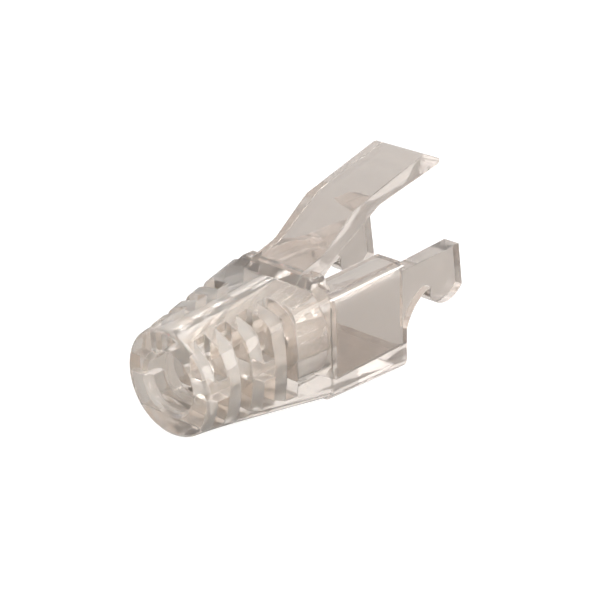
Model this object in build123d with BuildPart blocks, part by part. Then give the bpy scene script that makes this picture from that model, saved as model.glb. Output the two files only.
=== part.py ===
"""Strain relief boot for a modular network plug, moulded in one piece.

The cable enters at x = 0 and the plug seats in the box at the other end, along +X.
The latch guard is on the +Z side. The origin is the centre of the cable bore's mouth.
"""
import os
from math import radians, tan

from build123d import *

# Cable end
bore_diameter = 6.5
front_diameter = 11.4
front_edge_radius = 0.45
mouth_chamfer = 0.35

# Flexible barrel
barrel_length = 16.2
barrel_end_width = 14.2
barrel_end_top = 6.4
barrel_end_bottom = 6.0
barrel_end_corner = 1.5
throat_end_diameter = 8.2

# Slots through the barrel wall
collar_length = 1.15
slot_width = 1.5
slot_pitch = 3.0
slot_count = 4
slot_floor = 3.9
spine_width = 5.4
side_rib_height = 2.0
side_rib_level = 0.5

# Box that holds the back of the plug
box_length = 11.8
box_width = 14.5
box_top = 5.5
box_bottom_near = 6.1
box_bottom_far = 6.8
box_corner = 1.3
plug_width = 11.7
plug_height = 8.3
plug_clearance = 0.1
roof_thickness = 1.3
front_wall = 1.4
socket_corner = 0.5

# Latch cut-out in the box's roof
cutout_width = 6.5
cutout_setback = 0.0

# Latch guard: angles of its upper and lower faces and the length of each stretch along X
guard_width = 6.9
guard_root_overlap = 0.1
guard_root_level = 7.45
guard_knee_angle = 14.0
guard_knee_run = 3.3
guard_rise_angle = 35.0
guard_rise_run = 5.0
guard_pad_angle = 13.8
guard_pad_run = 11.2
guard_nose_angle = 26.0
guard_nose_run = 2.9
guard_nose_thickness = 0.4
guard_bend_radius = 2.5
guard_nose_back = 0.8
guard_bend_offset = 3.7
guard_bend_drop = 0.75
guard_under_run = 2.7
guard_under_level = 1.4
guard_gap = 0.65
guard_tip_corner = 0.6
root_slope_run = 2.6
root_width = 12.6
root_crest_width = 9.8
root_crest_drop = 0.3

# Side arms
arm_length = 9.3
arm_top = 4.9
arm_thickness = 1.6
arm_tip_thickness = 2.0
arm_overlap = 0.8
notch_start = -2.1
notch_top = 1.45
notch_slant = 0.15
notch_crown_run = 1.7
notch_crown_rise = 2.45
hook_run = 5.5
hook_belly = 2.5
hook_bottom = -1.2
hook_heel = 0.0
hook_lip = 0.35
tip_lean = 0.6

box_end = barrel_length + box_length
guard_root_start = barrel_length - guard_root_overlap
socket_start = barrel_length + front_wall
bore_radius = bore_diameter / 2
front_radius = front_diameter / 2
throat_end_radius = throat_end_diameter / 2
socket_width = plug_width + 2 * plug_clearance
socket_height = plug_height + 2 * plug_clearance
socket_top = box_top - roof_thickness
cutout_start = socket_start + cutout_setback
root_back = socket_start
half_box = box_width / 2
arm_end = box_end + arm_length
hook_start = arm_end - hook_run
beyond = box_width


def round_section(radius, side=30):
    """Closed circle of eight arcs, each side's spanning that many degrees, for the loft."""
    for quarter in range(4):
        CenterArc((0, 0), radius, 90 * quarter - side / 2, side)
        CenterArc((0, 0), radius, 90 * quarter + side / 2, 90 - side)


def box_section(width, top, bottom, corner):
    """Closed rounded rectangle of eight edges, about the bore's axis."""
    half = width / 2
    lines = [
        ((half, -bottom + corner), (half, top - corner)),
        ((half - corner, top), (-half + corner, top)),
        ((-half, top - corner), (-half, -bottom + corner)),
        ((-half + corner, -bottom), (half - corner, -bottom)),
    ]
    centres = [
        (half - corner, top - corner),
        (-half + corner, top - corner),
        (-half + corner, -bottom + corner),
        (half - corner, -bottom + corner),
    ]
    for quarter, (line, centre) in enumerate(zip(lines, centres)):
        Line(*line)
        CenterArc(centre, corner, 90 * quarter, 90)


# Latch guard: its outline from the side, upper face from the root to the nose, then back below
guard_top = [(guard_root_start, guard_root_level)]
for angle, run in [
    (guard_knee_angle, guard_knee_run),
    (guard_rise_angle, guard_rise_run),
    (guard_pad_angle, guard_pad_run),
    (-guard_nose_angle, guard_nose_run),
]:
    last_x, last_z = guard_top[-1]
    guard_top.append((last_x + run, last_z + run * tan(radians(angle))))
nose_x, nose_z = guard_top[-1]
bend_x, bend_z = guard_top[-3]
buried = box_top - roof_thickness / 2
guard_under = [
    (nose_x - guard_nose_back, nose_z - guard_nose_thickness),
    (bend_x + guard_bend_offset, bend_z - guard_bend_drop),
    (root_back + guard_under_run, box_top + guard_under_level),
    (root_back, box_top + guard_gap),
    (root_back, buried),
    (guard_root_start - root_slope_run, buried),
]
guard_radii = [0.5, 4, guard_bend_radius, 1, 0.3, 0.3, guard_bend_radius, 4, 0.3, 0, 0]

with BuildPart() as guard:
    with BuildSketch(Plane.XZ):
        with BuildLine():
            FilletPolyline(*guard_top, *guard_under, radius=guard_radii, close=True)
        make_face()
    extrude(amount=guard_width / 2, both=True)
    # Rounded corners of the tip, seen from above
    with BuildSketch(Plane.XY):
        with Locations((nose_x, 0)):
            RectangleRounded(box_end, guard_width, guard_tip_corner, align=(Align.MAX, Align.CENTER))
    extrude(amount=2 * beyond, both=True, mode=Mode.INTERSECT)
    # Hipped root that carries the strip on the box's front wall
    with BuildSketch(Plane.XY.offset(buried)):
        with Locations((root_back, 0)):
            root_foot = root_back - guard_root_start + root_slope_run
            Rectangle(root_foot, root_width, align=(Align.MAX, Align.CENTER))
    with BuildSketch(Plane.XY.offset(guard_root_level - root_crest_drop)):
        with Locations((root_back, 0)):
            root_crest = root_back - guard_root_start
            Rectangle(root_crest, root_crest_width, align=(Align.MAX, Align.CENTER))
    loft(ruled=True)

# Side arm on the -Y side: its outline from the side, thinned towards the box
with BuildPart() as arm:
    with BuildSketch(Plane.XZ.offset(half_box)):
        with BuildLine():
            Polyline(
                (box_end, notch_start),
                (box_end - arm_overlap, notch_start),
                (box_end - arm_overlap, arm_top),
                (arm_end - tip_lean, arm_top),
                (arm_end, hook_heel),
            )
            ThreePointArc(
                (arm_end, hook_heel),
                (hook_start + hook_belly, hook_bottom),
                (hook_start, hook_heel + hook_lip),
            )
            Line((hook_start, hook_heel + hook_lip), (hook_start + notch_slant, notch_top))
            ThreePointArc(
                (hook_start + notch_slant, notch_top),
                (box_end + notch_crown_run, notch_start + notch_crown_rise),
                (box_end, notch_start),
            )
        make_face()
    extrude(amount=-arm_tip_thickness)
    with BuildSketch(Plane.XY):
        with BuildLine():
            Polyline(
                (box_end - arm_overlap, arm_thickness - half_box),
                (arm_end, arm_tip_thickness - half_box),
                (arm_end, 0),
                (box_end - arm_overlap, 0),
                close=True,
            )
        make_face()
    extrude(amount=beyond, both=True, mode=Mode.SUBTRACT)

with BuildPart() as boot:
    # Barrel, from the round cable end to the box
    with BuildSketch(Plane.YZ):
        with BuildLine():
            round_section(front_radius)
        make_face()
    with BuildSketch(Plane.YZ.offset(barrel_length)):
        with BuildLine():
            box_section(barrel_end_width, barrel_end_top, barrel_end_bottom, barrel_end_corner)
        make_face()
    loft(ruled=True)
    front_rim = boot.edges().filter_by(lambda e: e.center().X < 0.01)
    fillet(front_rim, front_edge_radius)

    # Box
    with BuildSketch(Plane.YZ.offset(barrel_length)):
        with BuildLine():
            box_section(box_width, box_top, box_bottom_near, box_corner)
        make_face()
    with BuildSketch(Plane.YZ.offset(box_end)):
        with BuildLine():
            box_section(box_width, box_top, box_bottom_far, box_corner)
        make_face()
    loft(ruled=True)

    # Side arms
    add(arm.part)
    mirror(arm.part, about=Plane.XZ)

    # Cable bore, straight through the first ring and widening from there to the plug
    with BuildSketch(Plane.XY):
        with BuildLine():
            Polyline(
                (0, 0),
                (0, bore_radius + mouth_chamfer),
                (mouth_chamfer, bore_radius),
                (collar_length, bore_radius),
                (socket_start, throat_end_radius),
                (socket_start + front_wall, throat_end_radius),
                (socket_start + front_wall, 0),
                close=True,
            )
        make_face()
    revolve(axis=Axis.X, mode=Mode.SUBTRACT)

    # Socket for the plug
    with BuildSketch(Plane.YZ.offset(socket_start)):
        with Locations((0, socket_top - socket_height / 2)):
            RectangleRounded(socket_width, socket_height, socket_corner)
    extrude(amount=box_end - socket_start, mode=Mode.SUBTRACT)

    # Latch cut-out, open at the plug end
    with BuildSketch(Plane.XY):
        with Locations((cutout_start, 0)):
            Rectangle(box_length, cutout_width, align=(Align.MIN, Align.CENTER))
    extrude(amount=box_top + 1, mode=Mode.SUBTRACT)

    # Slots that let the barrel bend, cut straight across above a solid floor and beside a spine
    # along the top; every second one keeps a rib at each side
    for number in range(slot_count):
        with BuildSketch(Plane.YZ.offset(collar_length + number * slot_pitch)):
            with Locations((0, -slot_floor)):
                Rectangle(2 * beyond, beyond, align=(Align.CENTER, Align.MIN))
            Rectangle(spine_width, beyond, align=(Align.CENTER, Align.MIN), mode=Mode.SUBTRACT)
            if number % 2 == 0:
                with Locations((0, side_rib_level)):
                    Rectangle(2 * beyond, side_rib_height, mode=Mode.SUBTRACT)
        extrude(amount=slot_width, mode=Mode.SUBTRACT)

    # Guard
    add(guard.part)

boot.part.label = "boot"
os.makedirs("parts", exist_ok=True)
export_step(boot.part, "parts/boot.step")
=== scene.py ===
import bpy
from mathutils import Matrix, Vector


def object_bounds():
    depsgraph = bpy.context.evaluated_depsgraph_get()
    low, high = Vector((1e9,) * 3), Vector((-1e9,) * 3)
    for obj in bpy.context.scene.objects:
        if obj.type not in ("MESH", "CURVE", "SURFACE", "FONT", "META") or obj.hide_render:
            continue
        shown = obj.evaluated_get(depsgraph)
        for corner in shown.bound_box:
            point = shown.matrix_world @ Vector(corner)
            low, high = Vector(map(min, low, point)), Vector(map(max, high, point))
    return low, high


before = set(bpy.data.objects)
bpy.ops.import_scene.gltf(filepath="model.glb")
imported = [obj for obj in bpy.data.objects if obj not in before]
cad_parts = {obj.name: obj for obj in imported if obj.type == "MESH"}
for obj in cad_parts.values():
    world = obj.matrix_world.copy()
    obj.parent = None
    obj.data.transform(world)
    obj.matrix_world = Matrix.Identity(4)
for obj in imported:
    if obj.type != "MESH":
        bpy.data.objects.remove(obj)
CAD_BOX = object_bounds()

MM = 0.001
FLOOR_LEVEL = CAD_BOX[0].z
FLOOR_GAP = 0.02 * MM
FLOOR_HALF = 1.2

# Plastic
REFRACTION = 1.49
HAZE_SCATTER = 0.5
HAZE_COLOUR_DEPTH = (1.0, 0.9, 0.8)
HAZE_DEPTH = 3.0 * MM
SMOOTHEST = 0.01
ROUGHEST = 0.04
EDGE_RADIUS = 0.22 * MM
RIPPLE_HEIGHT = 0.05 * MM
RIPPLE_STRENGTH = 0.35
FINE_SHARE = 0.12
WARM_GREY = (0.85, 0.78, 0.725, 1.0)
DEEPER_GREY = (0.81, 0.74, 0.69, 1.0)

# The barrel is milkier and has a lighter colour, which is painted light standing in for the brighter
# light on the barrel; both turn into the box's look between these two places
BARREL_PAINTED_LIGHT_COLOUR = (0.95, 0.88, 0.82, 1.0)
BARREL_CLARITY = 0.85
BOX_CLARITY = 0.92
SHADE_START = 13.0 * MM
SHADE_END = 18.0 * MM

# White ground and world
WHITE = (1.0, 1.0, 0.998, 1.0)
PAPER = (0.28, 0.28, 0.28, 1.0)
GROUND_SEEN = 0.85
GROUND_THROUGH_PLASTIC = 0.13
DAYLIGHT = (0.80, 0.77, 0.74, 1.0)
DAYLIGHT_STRENGTH = 1.05

# Lamps: name, place, size, power and colour
AIM = (0.019, 0.0, 0.002)
PLAIN_WHITE = (1.0, 1.0, 1.0)
WARM_WHITE = (1.0, 0.96, 0.91)
LAMPS = [
    ("key", (-0.10, -0.06, 0.32), (0.30, 0.30), 0.45, PLAIN_WHITE),
    ("fill", (-0.02, -0.34, 0.06), (0.40, 0.30), 1.6, WARM_WHITE),
    ("glint", (0.25, -0.14, 0.21), (0.10, 0.06), 0.25, PLAIN_WHITE),
    ("back", (-0.16, 0.30, 0.10), (0.30, 0.20), 0.15, PLAIN_WHITE),
]

# Camera: its lens and its pose
SENSOR_WIDTH = 36.0
LENS = 121.114
CAMERA_PLACE = (-0.1201400, -0.1308987, 0.0896893)
CAMERA_RIGHT = (0.675477, -0.7369311, -0.025755)
CAMERA_UP = (0.3223871, 0.2637295, 0.9091278)
CAMERA_BACK = (-0.6631722, -0.622398, 0.4157203)


class Nodes:
    """Short helpers for building one material's or world's node tree."""

    def __init__(self, owner):
        owner.use_nodes = True
        self.tree = owner.node_tree
        self.tree.nodes.clear()

    def add(self, kind, settings=None, **inputs):
        """New node with its own settings and the values of its named inputs."""
        node = self.tree.nodes.new("ShaderNode" + kind)
        for key, value in (settings or {}).items():
            setattr(node, key, value)
        for key, value in inputs.items():
            node.inputs[key.replace("_", " ")].default_value = value
        return node

    def link(self, source, target):
        self.tree.links.new(source, target)

    def brightest(self, first, second):
        """Output that carries the larger of two values."""
        node = self.add("Math", {"operation": "MAXIMUM"})
        self.link(first, node.inputs[0])
        self.link(second, node.inputs[1])
        return node.outputs["Value"]


def add_ripple(n, position, shader):
    """Moulding ripple: slow flow waves, a fine skin texture and softened edges."""
    flow = n.add("TexNoise", Scale=420.0, Detail=2.0)
    fine = n.add("TexNoise", Scale=2600.0, Detail=3.0)
    n.link(position, flow.inputs["Vector"])
    n.link(position, fine.inputs["Vector"])
    both = n.add("Math", {"operation": "MULTIPLY_ADD"})
    both.inputs[1].default_value = FINE_SHARE
    n.link(fine.outputs["Fac"], both.inputs[0])
    n.link(flow.outputs["Fac"], both.inputs[2])
    bevel = n.add("Bevel", {"samples": 6}, Radius=EDGE_RADIUS)
    bump = n.add("Bump", Strength=RIPPLE_STRENGTH, Distance=RIPPLE_HEIGHT)
    n.link(both.outputs["Value"], bump.inputs["Height"])
    n.link(bevel.outputs["Normal"], bump.inputs["Normal"])
    n.link(bump.outputs["Normal"], shader.inputs["Normal"])


def mix_colours(n, share, first, second):
    """Colour mix node whose first colour gives way to the second as the share grows."""
    mix = n.add("Mix", {"data_type": "RGBA"})
    factor, colour_a, colour_b = mix.inputs[0], mix.inputs[6], mix.inputs[7]
    n.link(share, factor)
    colour_a.default_value = first
    if isinstance(second, bpy.types.NodeSocket):
        n.link(second, colour_b)
    else:
        colour_b.default_value = second
    return mix.outputs[2]


def clear_plastic():
    """Clear, faintly warm moulded plastic with flow ripple and a fine, cloudy haze."""
    material = bpy.data.materials.new("clear_plastic")
    n = Nodes(material)
    place = n.add("NewGeometry")
    position = place.outputs["Position"]
    out = n.add("OutputMaterial")
    shader = n.add(
        "BsdfPrincipled",
        IOR=REFRACTION,
        Metallic=0.0,
        Subsurface_Weight=HAZE_SCATTER,
        Subsurface_Radius=HAZE_COLOUR_DEPTH,
        Subsurface_Scale=HAZE_DEPTH,
    )
    add_ripple(n, position, shader)

    # Haze: slightly rougher and greyer in cloudy patches
    cloud = n.add("TexNoise", Scale=160.0, Detail=4.0)
    n.link(position, cloud.inputs["Vector"])
    rough = n.add("MapRange", To_Min=SMOOTHEST, To_Max=ROUGHEST)
    n.link(cloud.outputs["Fac"], rough.inputs["Value"])
    n.link(rough.outputs["Result"], shader.inputs["Roughness"])
    tone = mix_colours(n, cloud.outputs["Fac"], WARM_GREY, DEEPER_GREY)

    # Colour and clarity along the part, from the barrel to the box; the barrel's lighter colour is
    # painted light
    where = n.add("SeparateXYZ")
    n.link(position, where.inputs[0])
    along = n.add("MapRange", From_Min=SHADE_START, From_Max=SHADE_END)
    n.link(where.outputs["X"], along.inputs["Value"])
    clarity = n.add("MapRange", To_Min=BARREL_CLARITY, To_Max=BOX_CLARITY)
    n.link(along.outputs["Result"], clarity.inputs["Value"])
    n.link(clarity.outputs["Result"], shader.inputs["Transmission Weight"])
    # Painted light: the barrel gets a lighter base colour in place of the brighter light that falls
    # on it
    barrel_painted_light_and_tone = mix_colours(n, along.outputs["Result"], BARREL_PAINTED_LIGHT_COLOUR, tone)
    n.link(barrel_painted_light_and_tone, shader.inputs["Base Color"])
    n.link(shader.outputs["BSDF"], out.inputs["Surface"])
    return material


def white_ground():
    """White ground that keeps the part's shadow and is calmer where the plastic shows it."""
    material = bpy.data.materials.new("white_floor")
    n = Nodes(material)
    out = n.add("OutputMaterial")
    paper = n.add("BsdfPrincipled", Base_Color=PAPER, Roughness=0.9)
    grain = n.add("TexNoise", Scale=900.0)
    bump = n.add("Bump", Strength=0.05, Distance=0.02 * MM)
    n.link(grain.outputs["Fac"], bump.inputs["Height"])
    n.link(bump.outputs["Normal"], paper.inputs["Normal"])

    # Glow for the camera, and a weaker one for what the plastic mirrors and lets through
    path = n.add("LightPath")
    straight = n.add("Math", {"operation": "MULTIPLY"})
    straight.inputs[1].default_value = GROUND_SEEN
    n.link(path.outputs["Is Camera Ray"], straight.inputs[0])
    shown = n.brightest(path.outputs["Is Transmission Ray"], path.outputs["Is Glossy Ray"])
    level = n.add("Math", {"operation": "MULTIPLY_ADD"})
    level.inputs[1].default_value = GROUND_THROUGH_PLASTIC
    n.link(shown, level.inputs[0])
    n.link(straight.outputs["Value"], level.inputs[2])
    glow = n.add("Emission", Color=WHITE)
    n.link(level.outputs["Value"], glow.inputs["Strength"])
    total = n.add("AddShader")
    n.link(paper.outputs["BSDF"], total.inputs[0])
    n.link(glow.outputs["Emission"], total.inputs[1])
    n.link(total.outputs["Shader"], out.inputs["Surface"])
    return material


def white_world():
    """Soft daylight world, white to the camera and where the plastic shows it."""
    world = bpy.data.worlds.new("studio")
    bpy.context.scene.world = world
    n = Nodes(world)
    out = n.add("OutputWorld")
    white = n.add("Background", Color=WHITE, Strength=1.0)
    soft = n.add("Background", Color=DAYLIGHT, Strength=DAYLIGHT_STRENGTH)
    path = n.add("LightPath")
    seen = n.brightest(path.outputs["Is Camera Ray"], path.outputs["Is Glossy Ray"])
    shown = n.brightest(seen, path.outputs["Is Transmission Ray"])
    mix = n.add("MixShader")
    n.link(shown, mix.inputs[0])
    n.link(soft.outputs["Background"], mix.inputs[1])
    n.link(white.outputs["Background"], mix.inputs[2])
    n.link(mix.outputs["Shader"], out.inputs["Surface"])


def lay_floor():
    """Square floor just under the part."""
    corners = [(x, y, 0) for x, y in [(-1, -1), (1, -1), (1, 1), (-1, 1)]]
    mesh = bpy.data.meshes.new("floor")
    mesh.from_pydata([(x * FLOOR_HALF, y * FLOOR_HALF, z) for x, y, z in corners], [], [(0, 1, 2, 3)])
    mesh.materials.append(white_ground())
    floor = bpy.data.objects.new("floor", mesh)
    floor.location.z = FLOOR_LEVEL - FLOOR_GAP
    bpy.context.scene.collection.objects.link(floor)
    return floor


def area_lamp(name, place, size, power, colour):
    """Soft rectangular lamp pointed at the part."""
    data = bpy.data.lights.new(name, "AREA")
    data.shape = "RECTANGLE"
    data.size, data.size_y = size
    data.energy = power
    data.color = colour
    lamp = bpy.data.objects.new(name, data)
    lamp.location = place
    lamp.rotation_mode = "QUATERNION"
    lamp.rotation_quaternion = (Vector(AIM) - Vector(place)).to_track_quat("-Z", "Y")
    bpy.context.scene.collection.objects.link(lamp)


def set_camera():
    """Camera at the photo's viewing angle."""
    data = bpy.data.cameras.new("camera")
    data.sensor_width = SENSOR_WIDTH
    data.lens = LENS
    data.clip_start = 0.01
    data.clip_end = 10.0
    camera = bpy.data.objects.new("camera", data)
    turn = Matrix((CAMERA_RIGHT, CAMERA_UP, CAMERA_BACK)).transposed().to_4x4()
    camera.matrix_world = Matrix.Translation(CAMERA_PLACE) @ turn
    bpy.context.scene.collection.objects.link(camera)
    bpy.context.scene.camera = camera


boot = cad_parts["boot"]
boot.data.materials.clear()
boot.data.materials.append(clear_plastic())
lay_floor()
white_world()
for lamp in LAMPS:
    area_lamp(*lamp)
set_camera()
bpy.context.scene.view_settings.view_transform = "Standard"
